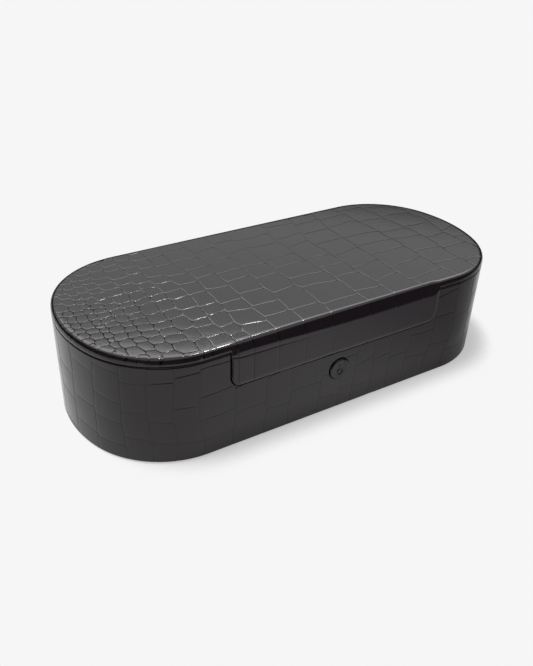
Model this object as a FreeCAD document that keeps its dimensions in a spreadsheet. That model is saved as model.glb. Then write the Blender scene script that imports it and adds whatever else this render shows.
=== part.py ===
import FreeCAD, Part
import math
import os
import re
import Sketcher

# Leather-covered UV sanitizer box: base, hinged lid, folding flap and push button.
# X runs along the box, the flap and button face -Y, Z is up, the feet stand on Z = 0.

sizes = {
    # case outline
    "case_length": 229,
    "case_width": 101,
    "case_height": 55,
    "shoulder_share": 0.864,
    "end_share": 1.285,
    # skins, walls and the gaps between pieces
    "leather": 0.8,
    "skin_gap": 0.3,
    "edge_gap": 0.3,
    "fit_gap": 0.1,
    "overrun": 5,
    "joint_overlap": 1,
    "shell_wall": 2.7,
    "rim_lip": 1.1,
    "rim_round": 0.6,
    # lid
    "lid_thickness": 3.6,
    "lid_gap": 0.4,
    "lid_edge_round": 3,
    "mirror_thickness": 3,
    "mirror_gap": 1.2,
    "mirror_round": 1,
    # flap and its recess
    "flap_width": 117.2,
    "flap_drop": 21.5,
    "flap_corner": 5,
    "flap_proud": 0.6,
    "flap_side_gap": 0.5,
    "flap_bottom_gap": 0.3,
    "flap_back_gap": 0.3,
    "flap_top_gap": 0.3,
    "flap_board_thickness": 1.2,
    "lining_thickness": 0.5,
    "backing_thickness": 3,
    "backing_margin": 1.4,
    "magnet_radius": 5,
    "magnet_spacing": 80,
    "magnet_rise": 7.5,
    "catch_magnet_thickness": 1.4,
    # feet and bottom cover
    "foot_height": 1,
    "foot_radius": 5,
    "foot_spacing_long": 144,
    "foot_spacing_wide": 66,
    "cover_thickness": 2.4,
    # screws: thread radius, head radius and head height
    "large_screw_radius": 1.3,
    "large_head_radius": 2.6,
    "large_head_height": 1.4,
    "large_screw_length": 8,
    "post_radius": 3.4,
    "post_spacing_long": 168,
    "post_spacing_wide": 40,
    "small_screw_radius": 0.8,
    "small_head_radius": 1.5,
    "small_head_height": 0.4,
    "small_screw_length": 5,
    # chamber tray
    "chamber_floor": 15,
    "tray_floor": 1.8,
    "tray_round": 3,
    "tray_wall": 1.6,
    "tray_gap": 0.5,
    "flange_thickness": 1.6,
    "rail_length": 150,
    "rail_width": 2.4,
    "rail_height": 2,
    "rail_spacing": 48,
    # lamp strip under the quartz window
    "window_length": 144,
    "window_width": 18,
    "window_thickness": 1.2,
    "window_ledge": 3,
    "lamp_count": 8,
    "lamp_pitch": 17,
    "lamp_side": 3.5,
    "lamp_height": 1,
    "lamp_air": 0.6,
    "board_thickness": 1.2,
    "lamp_board_margin": 1.5,
    "lamp_rail_width": 1.5,
    # push button, switch and switch board
    "button_radius": 5.45,
    "button_clearance": 0.4,
    "button_round": 0.6,
    "button_gap": 0.25,
    "button_proud": 0.8,
    "button_travel": 0.6,
    "button_lip": 0.8,
    "button_lip_height": 0.8,
    "button_lip_gap": 0.2,
    "pipe_radius": 0.55,
    "pipe_rise": 2,
    "plunger_radius": 1.7,
    "plunger_length": 2.4,
    "switch_side": 6,
    "switch_depth": 3,
    "switch_clearance": 1.2,
    "bore_clearance": 0.2,
    "switch_board_length": 28,
    "switch_board_width": 12,
    "switch_post_spacing": 21,
    "switch_post_radius": 2.4,
    "bay_gap": 0.6,
    # control board and charging inlet
    "control_length": 64,
    "control_width": 36,
    "control_setback": 5.6,
    "stud_height": 3,
    "stud_radius": 2.6,
    "stud_margin": 4,
    "inlet_width": 8.9,
    "inlet_height": 3.3,
    "inlet_depth": 7.3,
    "inlet_setback": 2,
    "inlet_wall": 0.4,
    "inlet_back": 1,
    "tongue_width": 6.7,
    "tongue_height": 0.7,
    "tongue_depth": 4.6,
    "inlet_gap": 1.9,
    "chip_side": 7,
    "chip_height": 1.4,
    "chip_pitch": 14,
    # lid sensor and its magnet
    "sensor_length": 8,
    "sensor_depth": 1.6,
    "sensor_height": 4,
    "sensor_magnet_radius": 2.4,
    "sensor_magnet_thickness": 1.4,
    # butt hinges
    "hinge_spacing": 92,
    "hinge_length": 22,
    "hinge_reach": 7.4,
    "hinge_offset": 0.3,
    "leaf_thickness": 0.8,
    "knuckle_radius": 1.7,
    "knuckle_share": 0.25,
    "knuckle_gap": 0.2,
    "pin_radius": 0.8,
    "pin_gap": 0.05,
    "hinge_screw_spacing": 14,
    "hinge_screw_inset": 3.8,
    "lid_screw_length": 2.2,
    "hinge_block_depth": 2,
    "hinge_block_height": 9,
}

# Places worked out from the sizes, written with the same names.
places = {
    "half_width": "case_width / 2",
    "lid_under": "case_height - lid_thickness",
    "rim_top": "lid_under - lid_gap",
    "shell_top": "rim_top - leather",
    "flange_under": "rim_top - flange_thickness",
    "shell_outside": "leather + skin_gap",
    "shell_inside": "shell_outside + shell_wall",
    "step_inset": "shell_outside + rim_lip",
    "flap_face": "half_width + flap_proud",
    "flap_bottom": "case_height - flap_drop",
    "flap_top": "lid_under - flap_top_gap",
    "flap_inner": "flap_face - leather - flap_board_thickness",
    "flap_back": "flap_inner - lining_thickness",
    "recess_floor": "flap_back - flap_back_gap",
    "recess_half": "flap_width / 2 + flap_side_gap",
    "recess_bottom": "flap_bottom - flap_bottom_gap",
    "shell_recess_floor": "recess_floor - leather",
    "shell_recess_half": "recess_half + shell_outside",
    "shell_recess_bottom": "recess_bottom - shell_outside",
    "backing_face": "shell_recess_floor - backing_thickness",
    "tray_inset": "half_width - backing_face + tray_gap",
    "chamber_inset": "tray_inset + tray_wall",
    "cover_top": "foot_height + cover_thickness",
    "floor_under": "chamber_floor - tray_floor",
    "lamp_board_top": "floor_under - lamp_height - lamp_air",
    "lamp_board_half": "window_width / 2 + lamp_board_margin",
    "wall_inner": "half_width - shell_inside",
    "button_hole": "button_radius + button_gap",
    "button_room": "button_hole + button_lip + button_clearance",
    "button_height": "shell_recess_bottom - backing_margin - button_room",
    "button_shoulder": "wall_inner - button_lip_gap",
    "button_back": "button_shoulder - button_lip_height",
    "switch_front": "button_back - switch_clearance",
    "switch_back": "switch_front - switch_depth",
    "switch_board_back": "switch_back - board_thickness",
    "bay_face": "switch_board_back - small_head_height - bay_gap",
    "bay_half": "switch_board_length / 2 + bay_gap",
    "bay_top": "button_height + switch_board_width / 2 + bay_gap",
    "control_back": "half_width - control_setback",
    "control_under": "cover_top + stud_height",
    "control_top": "control_under + board_thickness",
    "inlet_mouth": "half_width - inlet_setback",
    "inlet_middle": "control_top + inlet_height / 2",
    "hinge_axis": "half_width + hinge_offset",
    "hinge_level": "rim_top + lid_gap / 2",
    "hinge_end": "hinge_axis - hinge_reach",
    "knuckle_end": "hinge_length * knuckle_share",
    "relief_radius": "knuckle_radius + fit_gap + edge_gap",
    "hinge_screw_line": "half_width - hinge_screw_inset",
    "gap_middle": "half_width - (shell_inside + tray_inset) / 2",
}

doc = FreeCAD.newDocument("sanitizer_box")
sheet = doc.addObject("Spreadsheet::Sheet", "Sizes")
for row, (name, value) in enumerate(sizes.items(), start=1):
    sheet.set(f"A{row}", name)
    sheet.set(f"B{row}", str(value))
    sheet.setAlias(f"B{row}", name)
doc.recompute()


def formula(text):
    # Turns the names in a sum into references to the sheet's cells.
    def reference(match):
        word = match.group()
        if word in places:
            return "(" + formula(places[word]) + ")"
        return "Sizes." + word if word in sizes else word

    return re.sub(r"[a-z_]+", reference, text)


def bind(item, **sums):
    for prop, text in sums.items():
        item.setExpression(prop, formula(text))


def put(item, x="0", y="0", z="0"):
    for axis, text in zip("xyz", (x, y, z)):
        item.setExpression(f"Placement.Base.{axis}", formula(text))


# Sketches


def flat_sketch(body, plane, level):
    sketch = body.newObject("Sketcher::SketchObject", "Sketch")
    support = next(f for f in body.Origin.OriginFeatures if f.Role == plane)
    sketch.AttachmentSupport = [(support, "")]
    sketch.MapMode = "FlatFace"
    sketch.setExpression("AttachmentOffset.Base.z", formula(level))
    return sketch


def line(x_from, y_from, x_to, y_to):
    return Part.LineSegment(FreeCAD.Vector(x_from, y_from), FreeCAD.Vector(x_to, y_to))


def arc(x, y, radius, start, end):
    circle = Part.Circle(FreeCAD.Vector(x, y), FreeCAD.Vector(0, 0, 1), radius)
    return Part.ArcOfCircle(circle, start, end)


def hold(sketch, text, *constraint):
    index = sketch.addConstraint(Sketcher.Constraint(*constraint))
    sketch.setExpression(f"Constraints[{index}]", formula(text))


def case_outline(body, inset, level):
    # Straight long sides, a flat arc at each end and a tighter arc at each shoulder.
    sketch = flat_sketch(body, "XY_Plane", level)
    half = sizes["case_width"] / 2
    shoulder = sizes["shoulder_share"] * half
    end = sizes["end_share"] * half
    centre = sizes["case_length"] / 2 - end
    rise = half - shoulder
    reach = math.sqrt((end - shoulder) ** 2 - rise ** 2)
    side = centre + reach
    turn = math.atan2(rise, reach)
    quarter = math.pi / 2
    sketch.addGeometry([
        line(-side, -half, side, -half),
        arc(side, -rise, shoulder, -quarter, -turn),
        arc(centre, 0, end, -turn, turn),
        arc(side, rise, shoulder, turn, quarter),
        line(side, half, -side, half),
        arc(-side, rise, shoulder, quarter, math.pi - turn),
        arc(-centre, 0, end, math.pi - turn, math.pi + turn),
        arc(-side, -rise, shoulder, math.pi + turn, math.pi + quarter),
    ])
    count = sketch.GeometryCount
    for index in range(count):
        sketch.addConstraint(Sketcher.Constraint("Tangent", index, 2, (index + 1) % count, 1))
    for side_line in (0, 4):
        sketch.addConstraint(Sketcher.Constraint("Symmetric", side_line, 1, side_line, 2, -2))
    for first, second in ((1, 3), (1, 5), (1, 7), (2, 6)):
        sketch.addConstraint(Sketcher.Constraint("Equal", first, second))
    sketch.addConstraint(Sketcher.Constraint("PointOnObject", 2, 3, -1))
    hold(sketch, f"shoulder_share * half_width - ({inset})", "Radius", 1, shoulder)
    hold(sketch, f"end_share * half_width - ({inset})", "Radius", 2, end)
    hold(sketch, f"half_width - ({inset})", "DistanceY", 0, 1, -1, 1, half)
    hold(sketch, f"half_width - ({inset})", "DistanceY", -1, 1, 4, 1, half)
    hold(sketch, "case_length / 2 - end_share * half_width", "DistanceX", -1, 1, 2, 3, centre)
    return sketch


def flap_outline(body, half, bottom, top, corner, level):
    # A rectangle seen from the front with two rounded lower corners.
    sketch = flat_sketch(body, "XZ_Plane", level)
    side = sizes["flap_width"] / 2
    high = sizes["case_height"]
    low = high - sizes["flap_drop"]
    radius = sizes["flap_corner"]
    sketch.addGeometry([
        line(-side, high, -side, low + radius),
        arc(radius - side, low + radius, radius, math.pi, math.pi * 3 / 2),
        line(radius - side, low, side - radius, low),
        arc(side - radius, low + radius, radius, math.pi * 3 / 2, math.pi * 2),
        line(side, low + radius, side, high),
        line(side, high, -side, high),
    ])
    for index in range(4):
        sketch.addConstraint(Sketcher.Constraint("Tangent", index, 2, index + 1, 1))
    sketch.addConstraint(Sketcher.Constraint("Coincident", 4, 2, 5, 1))
    sketch.addConstraint(Sketcher.Constraint("Coincident", 5, 2, 0, 1))
    sketch.addConstraint(Sketcher.Constraint("Vertical", 0))
    sketch.addConstraint(Sketcher.Constraint("Vertical", 4))
    sketch.addConstraint(Sketcher.Constraint("Horizontal", 2))
    sketch.addConstraint(Sketcher.Constraint("Symmetric", 0, 1, 4, 2, -2))
    sketch.addConstraint(Sketcher.Constraint("Equal", 1, 3))
    hold(sketch, corner, "Radius", 1, radius)
    hold(sketch, half, "DistanceX", -1, 1, 4, 1, side)
    hold(sketch, bottom, "DistanceY", -1, 1, 2, 1, low)
    hold(sketch, top, "DistanceY", -1, 1, 4, 2, high)
    return sketch


# Solids


def case_body(name, layers):
    # Pads and pockets of the case outline, each with its inset, lower and upper level.
    body = doc.addObject("PartDesign::Body", name)
    for kind, inset, low, high in layers:
        sketch = case_outline(body, inset, low if kind == "Pad" else high)
        feature = body.newObject(f"PartDesign::{kind}", kind)
        feature.Profile = sketch
        bind(feature, Length=f"{high} - ({low})")
    doc.recompute()
    return body


def flap_body(name, half, bottom, top, corner, back, front):
    # A slab with the flap's outline, from its back to its front face.
    body = doc.addObject("PartDesign::Body", name)
    pad = body.newObject("PartDesign::Pad", "Pad")
    pad.Profile = flap_outline(body, half, bottom, top, corner, back)
    bind(pad, Length=f"{front} - ({back})")
    doc.recompute()
    return body


def disc_body(name, radius, back, front, level):
    # A round slab seen from the front, from its back to its front face.
    body = doc.addObject("PartDesign::Body", name)
    sketch = flat_sketch(body, "XZ_Plane", back)
    centre = FreeCAD.Vector(0, sizes["case_height"] / 2)
    sketch.addGeometry(Part.Circle(centre, FreeCAD.Vector(0, 0, 1), sizes["button_radius"]))
    sketch.addConstraint(Sketcher.Constraint("PointOnObject", 0, 3, -2))
    hold(sketch, radius, "Radius", 0, sizes["button_radius"])
    hold(sketch, level, "DistanceY", -1, 1, 0, 3, centre.y)
    pad = body.newObject("PartDesign::Pad", "Pad")
    pad.Profile = sketch
    bind(pad, Length=f"{front} - ({back})")
    doc.recompute()
    return body


def round_edges(body, radius, axis, level):
    # Rounds every edge that lies in one plane across an axis.
    base = body.Tip
    edges = [
        f"Edge{number}"
        for number, edge in enumerate(base.Shape.Edges, start=1)
        if all(math.isclose(getattr(vertex, axis), level) for vertex in edge.Vertexes)
    ]
    fillet = body.newObject("PartDesign::Fillet", "Fillet")
    fillet.Base = (base, edges)
    bind(fillet, Radius=radius)
    doc.recompute()


def block(name, x, y, z):
    # A box from its lower to its upper limit along each axis.
    item = doc.addObject("Part::Box", name)
    spans = [f"{high} - ({low})" for low, high in (x, y, z)]
    bind(item, Length=spans[0], Width=spans[1], Height=spans[2])
    put(item, x[0], y[0], z[0])
    return item


def middle_block(name, length, width, z, x="0", y="0"):
    # A box centred on a point of the plan.
    x_span = (f"{x} - ({length}) / 2", f"{x} + ({length}) / 2")
    y_span = (f"{y} - ({width}) / 2", f"{y} + ({width}) / 2")
    return block(name, x_span, y_span, z)


turns = {
    "X": FreeCAD.Rotation(FreeCAD.Vector(0, 1, 0), 90),
    "Y": FreeCAD.Rotation(FreeCAD.Vector(1, 0, 0), -90),
    "Z": FreeCAD.Rotation(),
}


def rod(name, along, radius, span, x="0", y="0", z="0"):
    # A cylinder along one axis from the lower to the upper limit of its span.
    item = doc.addObject("Part::Cylinder", name)
    item.Placement = FreeCAD.Placement(FreeCAD.Vector(), turns[along])
    low, high = span
    bind(item, Radius=radius, Height=f"{high} - ({low})")
    start = {"X": x, "Y": y, "Z": z}
    start[along] = low
    put(item, start["X"], start["Y"], start["Z"])
    return item


def slot(name, width, height, y, z):
    # A flat-sided bar along Y with round ends, centred on X = 0.
    reach = f"(({width}) - ({height})) / 2"
    radius = f"({height}) / 2"
    middle = middle_block(name, f"({width}) - ({height})", f"{y[1]} - ({y[0]})",
                          (f"{z} - {radius}", f"{z} + {radius}"), y=f"({y[0]} + {y[1]}) / 2")
    ends = [rod(name, "Y", radius, y, x=f"{side} * {reach}", z=z) for side in sides]
    return join(name, [middle] + ends)


def join(name, items):
    result = doc.addObject("Part::MultiFuse", name)
    result.Shapes = items
    result.Refine = True
    return result


def cut(name, base, tools):
    result = doc.addObject("Part::Cut", name)
    result.Base = base
    result.Tool = join(name + "_tools", tools) if len(tools) > 1 else tools[0]
    result.Refine = True
    return result


def group(name, items):
    result = doc.addObject("Part::Compound", name)
    result.Links = items
    return result


def screw(name, along, size, head, thread, **place):
    # The head and the thread, each with its own span along the axis.
    head_rod = rod(name, along, f"{size}head_radius", head, **place)
    thread_rod = rod(name, along, f"{size}screw_radius", thread, **place)
    return join(name, [head_rod, thread_rod])


parts = []
sides = (-1, 1)
corners = [(-1, -1), (1, -1), (1, 1), (-1, 1)]


def keep(label, item):
    item.Label = label
    parts.append(item)
    return item


# Shared cutters

hinge_places = [f"{side} * hinge_spacing / 2" for side in sides]
hinge_screws = [
    f"{place} + {side} * hinge_screw_spacing / 2" for place in hinge_places for side in sides
]
screw_places = [
    (f"{across} * post_spacing_long / 2", f"{along} * post_spacing_wide / 2")
    for across, along in corners
]
magnet_places = [f"{side} * magnet_spacing / 2" for side in sides]
magnet_level = "flap_bottom + magnet_rise"


def reliefs(name):
    # Room around the hinge knuckles.
    return [
        rod(name, "X", "relief_radius",
            (f"{place} - hinge_length / 2 - edge_gap", f"{place} + hinge_length / 2 + edge_gap"),
            y="hinge_axis", z="hinge_level")
        for place in hinge_places
    ]


def mortises(name, low, high):
    # Seats for the hinge leaves.
    return [
        block(name,
              (f"{place} - hinge_length / 2 - edge_gap", f"{place} + hinge_length / 2 + edge_gap"),
              ("hinge_end - edge_gap", "half_width + overrun"), (low, high))
        for place in hinge_places
    ]


def hinge_bores(name, low, high):
    return [
        rod(name, "Z", "small_screw_radius + fit_gap", (low, high), x=place, y="hinge_screw_line")
        for place in hinge_screws
    ]


def button_bore(name):
    return rod(name, "Y", "button_hole", ("-half_width - overrun", "-wall_inner + overrun"),
               z="button_height")


def inlet_opening(name):
    return slot(name, "inlet_width + 2 * inlet_gap", "inlet_height + 2 * inlet_gap",
                ("wall_inner - overrun", "half_width + overrun"), "inlet_middle")


def base_mortises(name):
    return mortises(name, "rim_top - leaf_thickness", "rim_top + overrun")


# Base shell: wall, rim step, cover seat, backing behind the flap, hinge blocks and switch posts


def make_base_shell():
    wall = case_body("shell_wall", [
        ("Pad", "shell_outside", "foot_height", "shell_top"),
        ("Pocket", "shell_inside", "foot_height", "shell_top"),
        ("Pocket", "step_inset", "flange_under", "shell_top"),
        ("Pocket", "step_inset", "foot_height", "cover_top"),
    ])
    backing = middle_block(
        "shell_backing", "2 * (shell_recess_half + backing_margin)",
        "wall_inner + joint_overlap - backing_face",
        ("shell_recess_bottom - backing_margin", "flange_under"),
        y="-(wall_inner + joint_overlap + backing_face) / 2")
    hinge_blocks = [
        middle_block("hinge_block", "hinge_length", "hinge_block_depth + joint_overlap",
                     ("flange_under - hinge_block_height", "flange_under"), x=place,
                     y="wall_inner + (joint_overlap - hinge_block_depth) / 2")
        for place in hinge_places
    ]
    posts = [
        rod("switch_post", "Y", "switch_post_radius", ("-wall_inner - joint_overlap", "-switch_back"),
            x=f"{side} * switch_post_spacing / 2", z="button_height")
        for side in sides
    ]
    solid = join("shell_solid", [wall, backing] + hinge_blocks + posts)
    recess = flap_body("shell_recess", "shell_recess_half", "shell_recess_bottom",
                       "case_height + overrun", "flap_corner + flap_side_gap + shell_outside",
                       "shell_recess_floor", "half_width + overrun")
    magnet_seats = [
        rod("catch_seat", "Y", "magnet_radius + fit_gap",
            ("-backing_face - catch_magnet_thickness", "-backing_face + overrun"),
            x=place, z=magnet_level)
        for place in magnet_places
    ]
    post_bores = [
        rod("post_bore", "Y", "small_screw_radius + fit_gap",
            ("-switch_board_back - small_screw_length - fit_gap", "-switch_back + overrun"),
            x=f"{side} * switch_post_spacing / 2", z="button_height")
        for side in sides
    ]
    tools = [recess, button_bore("shell_button"), inlet_opening("shell_inlet")]
    tools += magnet_seats + post_bores + reliefs("shell_relief") + base_mortises("shell_mortise")
    tools += hinge_bores("shell_bore", "rim_top - small_screw_length - fit_gap", "rim_top")
    return cut("base_shell", solid, tools)


# Base leather: one skin over the wall, turned in over the rim and lining the recess


def make_base_wrap():
    skin = case_body("wrap_skin", [
        ("Pad", "0", "foot_height", "rim_top"),
        ("Pocket", "leather", "foot_height", "shell_top"),
        ("Pocket", "step_inset", "shell_top", "rim_top"),
    ])
    round_edges(skin, "rim_round", "Z", skin.Shape.BoundBox.ZMax)
    lining = flap_body("wrap_lining", "recess_half + leather", "recess_bottom - leather", "rim_top",
                       "flap_corner + flap_side_gap + leather", "shell_recess_floor",
                       "half_width - rim_round")
    recess = flap_body("wrap_recess", "recess_half", "recess_bottom", "case_height + overrun",
                       "flap_corner + flap_side_gap", "recess_floor", "half_width + overrun")
    tools = [recess, button_bore("wrap_button"), inlet_opening("wrap_inlet")]
    tools += reliefs("wrap_relief") + base_mortises("wrap_mortise")
    return cut("base_wrap", join("wrap_solid", [skin, lining]), tools)


# Bottom cover with its feet and screws, and the studs that carry the control board

stud_places = [
    (f"{across} * (control_length / 2 - stud_margin)",
     f"control_back - control_width / 2 + {along} * (control_width / 2 - stud_margin)")
    for across, along in corners
]


def make_bottom_cover():
    plate = case_body("cover_plate", [("Pad", "step_inset + edge_gap", "foot_height", "cover_top")])
    studs = [
        rod("control_stud", "Z", "stud_radius", ("cover_top - joint_overlap", "control_under"), x=x, y=y)
        for x, y in stud_places
    ]
    tools = [
        rod("cover_hole", "Z", "large_screw_radius + fit_gap",
            ("foot_height", "cover_top + overrun"), x=x, y=y)
        for x, y in screw_places
    ]
    tools += [
        rod("cover_sink", "Z", "large_head_radius + fit_gap", ("0", "foot_height + large_head_height"),
            x=x, y=y)
        for x, y in screw_places
    ]
    tools += [
        rod("stud_bore", "Z", "small_screw_radius + fit_gap",
            ("control_top - small_screw_length - fit_gap", "control_top"), x=x, y=y)
        for x, y in stud_places
    ]
    return cut("bottom_cover", join("cover_solid", [plate] + studs), tools)


def make_cover_screws():
    return group("cover_screws", [
        screw("cover_screw", "Z", "large_", ("foot_height", "foot_height + large_head_height"),
              ("foot_height + large_head_height", "foot_height + large_screw_length"), x=x, y=y)
        for x, y in screw_places
    ])


def make_rubber_feet():
    return group("rubber_feet", [
        rod("foot", "Z", "foot_radius", ("0", "foot_height"),
            x=f"{across} * foot_spacing_long / 2", y=f"{along} * foot_spacing_wide / 2")
        for across, along in corners
    ])


# Chamber tray: tub, flange, switch bay, support rails, screw posts and lamp rails


def make_chamber_tray():
    tub = case_body("tray_tub", [
        ("Pad", "tray_inset", "floor_under", "rim_top"),
        ("Pad", "step_inset + edge_gap", "flange_under", "rim_top"),
        ("Pocket", "chamber_inset", "chamber_floor", "rim_top"),
    ])
    round_edges(tub, "tray_round", "Z", sizes["chamber_floor"])
    bay = block("bay_wall", ("-bay_half - tray_wall", "bay_half + tray_wall"),
                ("-half_width + tray_inset", "-bay_face + tray_wall"),
                ("floor_under", "bay_top + tray_wall"))
    rails = [
        middle_block("rail", "rail_length", "rail_width", ("floor_under", "chamber_floor + rail_height"),
                     y=f"{side} * rail_spacing / 2")
        for side in sides
    ]
    posts = [
        rod("tray_post", "Z", "post_radius", ("cover_top", "chamber_floor"), x=x, y=y)
        for x, y in screw_places
    ]
    lamp_rails = [
        middle_block("lamp_rail", "window_length", "lamp_rail_width",
                     ("lamp_board_top", "chamber_floor - window_thickness"),
                     y=f"{side} * (lamp_board_half - lamp_rail_width / 2)")
        for side in sides
    ]
    solid = join("tray_solid", [tub, bay] + rails + posts + lamp_rails)
    tools = [
        block("bay_room", ("-bay_half", "bay_half"), ("-half_width", "-bay_face"),
              ("floor_under - overrun", "bay_top")),
        middle_block("window_seat", "window_length + 2 * fit_gap", "window_width + 2 * fit_gap",
                     ("chamber_floor - window_thickness", "chamber_floor + overrun")),
        middle_block("window_hole", "window_length - 2 * window_ledge", "window_width - 2 * window_ledge",
                     ("floor_under - overrun", "chamber_floor")),
        block("flap_notch", ("-shell_recess_half - edge_gap", "shell_recess_half + edge_gap"),
              ("-half_width - overrun", "-shell_recess_floor + edge_gap"),
              ("flange_under - overrun", "rim_top + overrun")),
    ]
    tools += [
        rod("post_hole", "Z", "large_screw_radius + fit_gap",
            ("foot_height", "foot_height + large_screw_length + fit_gap"), x=x, y=y)
        for x, y in screw_places
    ]
    tools += base_mortises("tray_mortise")
    tools += hinge_bores("tray_bore", "flange_under - overrun", "rim_top")
    return cut("chamber_tray", solid, tools)


# Lamp strip: board, lamps and the quartz window over them


def make_lamp_board():
    return middle_block("lamp_board", "window_length", "2 * lamp_board_half",
                        ("lamp_board_top - board_thickness", "lamp_board_top"))


def make_lamps():
    return group("uv_lamps", [
        middle_block("lamp", "lamp_side", "lamp_side", ("lamp_board_top", "lamp_board_top + lamp_height"),
                     x=f"({number} - (lamp_count - 1) / 2) * lamp_pitch")
        for number in range(int(sizes["lamp_count"]))
    ])


def make_window():
    return middle_block("quartz_window", "window_length", "window_width",
                        ("chamber_floor - window_thickness", "chamber_floor"))


# Control board, its chips and screws, and the charging inlet


def make_control_board():
    plate = block("control_plate", ("-control_length / 2", "control_length / 2"),
                  ("control_back - control_width", "control_back"), ("control_under", "control_top"))
    return cut("control_board", plate, [
        rod("control_hole", "Z", "small_screw_radius + fit_gap", ("cover_top", "control_top + overrun"),
            x=x, y=y)
        for x, y in stud_places
    ])


def make_control_screws():
    return group("control_screws", [
        screw("control_screw", "Z", "small_", ("control_top", "control_top + small_head_height"),
              ("control_top - small_screw_length", "control_top"), x=x, y=y)
        for x, y in stud_places
    ])


def make_chips():
    return group("control_chips", [
        middle_block("chip", "chip_side", "chip_side", ("control_top", "control_top + chip_height"),
                     x=f"{number} * chip_pitch", y="control_back - control_width * 2 / 3")
        for number in (-1, 0, 1)
    ])


def make_inlet():
    inner_width = "inlet_width - 2 * inlet_wall"
    inner_height = "inlet_height - 2 * inlet_wall"
    back = "inlet_mouth - inlet_depth"
    case = slot("inlet_case", "inlet_width", "inlet_height", (back, "inlet_mouth"), "inlet_middle")
    room = slot("inlet_room", inner_width, inner_height,
                (f"{back} + inlet_back", "inlet_mouth + overrun"), "inlet_middle")
    tongue = block("inlet_tongue", ("-tongue_width / 2", "tongue_width / 2"),
                   (f"{back} + inlet_back / 2", f"{back} + inlet_back + tongue_depth"),
                   ("inlet_middle - tongue_height / 2", "inlet_middle + tongue_height / 2"))
    return join("charging_inlet", [cut("inlet_shell", case, [room]), tongue])


# Switch board behind the button


def make_switch_board():
    plate = block("switch_plate", ("-switch_board_length / 2", "switch_board_length / 2"),
                  ("-switch_back", "-switch_board_back"),
                  ("button_height - switch_board_width / 2", "button_height + switch_board_width / 2"))
    return cut("switch_board", plate, [
        rod("switch_hole", "Y", "small_screw_radius + fit_gap",
            ("-switch_front", "-switch_board_back + overrun"),
            x=f"{side} * switch_post_spacing / 2", z="button_height")
        for side in sides
    ])


def make_switch_screws():
    return group("switch_screws", [
        screw("switch_screw", "Y", "small_",
              ("-switch_board_back", "-switch_board_back + small_head_height"),
              ("-switch_board_back - small_screw_length", "-switch_board_back"),
              x=f"{side} * switch_post_spacing / 2", z="button_height")
        for side in sides
    ])


def make_tact_switch():
    case = block("switch_case", ("-switch_side / 2", "switch_side / 2"), ("-switch_front", "-switch_back"),
                 ("button_height - switch_side / 2", "button_height + switch_side / 2"))
    bore = rod("switch_bore", "Y", "plunger_radius + fit_gap",
               ("-switch_front - overrun", "-button_back + plunger_length + button_travel + bore_clearance"),
               z="button_height")
    return cut("tact_switch", case, [bore])


# Push button: cap with its lip, light pipe, and the plunger it drives


def make_button_cap():
    face = disc_body("button_face", "button_radius", "button_back", "half_width + button_proud",
                     "button_height")
    round_edges(face, "button_round", "Y", face.Shape.BoundBox.YMin)
    lip = rod("button_lip", "Y", "button_hole + button_lip", ("-button_shoulder", "-button_back"),
              z="button_height")
    hole = rod("pipe_hole", "Y", "pipe_radius + pin_gap",
               ("-half_width - overrun", "-button_back + overrun"), z="button_height + pipe_rise")
    return cut("button_cap", join("button_solid", [face, lip]), [hole])


def make_light_pipe():
    return rod("light_pipe", "Y", "pipe_radius", ("-half_width - button_proud", "-button_back"),
               z="button_height + pipe_rise")


def make_plunger():
    return rod("switch_plunger", "Y", "plunger_radius", ("-button_back", "-button_back + plunger_length"),
               z="button_height")


# Magnets and the lid sensor


def make_catch_magnets():
    return group("catch_magnets", [
        rod("catch_magnet", "Y", "magnet_radius",
            ("-backing_face - catch_magnet_thickness", "-backing_face"),
            x=place, z=magnet_level)
        for place in magnet_places
    ])


def make_lid_sensor():
    return middle_block("lid_sensor", "sensor_length", "sensor_depth",
                        ("flange_under - sensor_height", "flange_under"), y="gap_middle")


def make_sensor_magnet():
    return rod("sensor_magnet", "Z", "sensor_magnet_radius",
               ("lid_under", "lid_under + sensor_magnet_thickness"), y="gap_middle")


# Lid: board, leather cap and mirror panel


def make_lid_board():
    plate = case_body("lid_plate", [("Pad", "shell_outside", "lid_under", "case_height - leather")])
    round_edges(plate, "lid_edge_round - shell_outside", "Z", plate.Shape.BoundBox.ZMax)
    magnet_seat = rod("sensor_seat", "Z", "sensor_magnet_radius + fit_gap",
                      ("lid_under - overrun", "lid_under + sensor_magnet_thickness"),
                      y="gap_middle")
    tools = [magnet_seat] + reliefs("lid_relief")
    tools += mortises("lid_mortise", "lid_under - overrun", "lid_under + leaf_thickness")
    tools += hinge_bores("lid_bore", "lid_under - overrun", "lid_under + lid_screw_length + fit_gap")
    return cut("lid_board", plate, tools)


def make_lid_wrap():
    skin = case_body("lid_skin", [
        ("Pad", "0", "lid_under", "case_height"),
        ("Pocket", "leather", "lid_under", "case_height - leather"),
    ])
    round_edges(skin, "lid_edge_round", "Z", skin.Shape.BoundBox.ZMax)
    tools = reliefs("lid_wrap_relief")
    tools += mortises("lid_wrap_mortise", "lid_under - overrun", "lid_under + leaf_thickness")
    return cut("lid_wrap", skin, tools)


def make_mirror():
    panel = case_body("mirror_panel", [
        ("Pad", "chamber_inset + mirror_gap", "lid_under - mirror_thickness", "lid_under"),
    ])
    round_edges(panel, "mirror_round", "Z", panel.Shape.BoundBox.ZMin)
    return panel


# Flap: leather with hemmed edges round a board, lining behind, two magnets


def make_flap_leather():
    slab = flap_body("flap_slab", "flap_width / 2", "flap_bottom", "flap_top", "flap_corner",
                     "flap_inner", "flap_face")
    room = flap_body("flap_room", "flap_width / 2 - leather", "flap_bottom + leather",
                     "flap_top - leather", "flap_corner - leather", "flap_inner - overrun",
                     "flap_face - leather")
    return cut("flap_leather", slab, [room])


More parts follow.
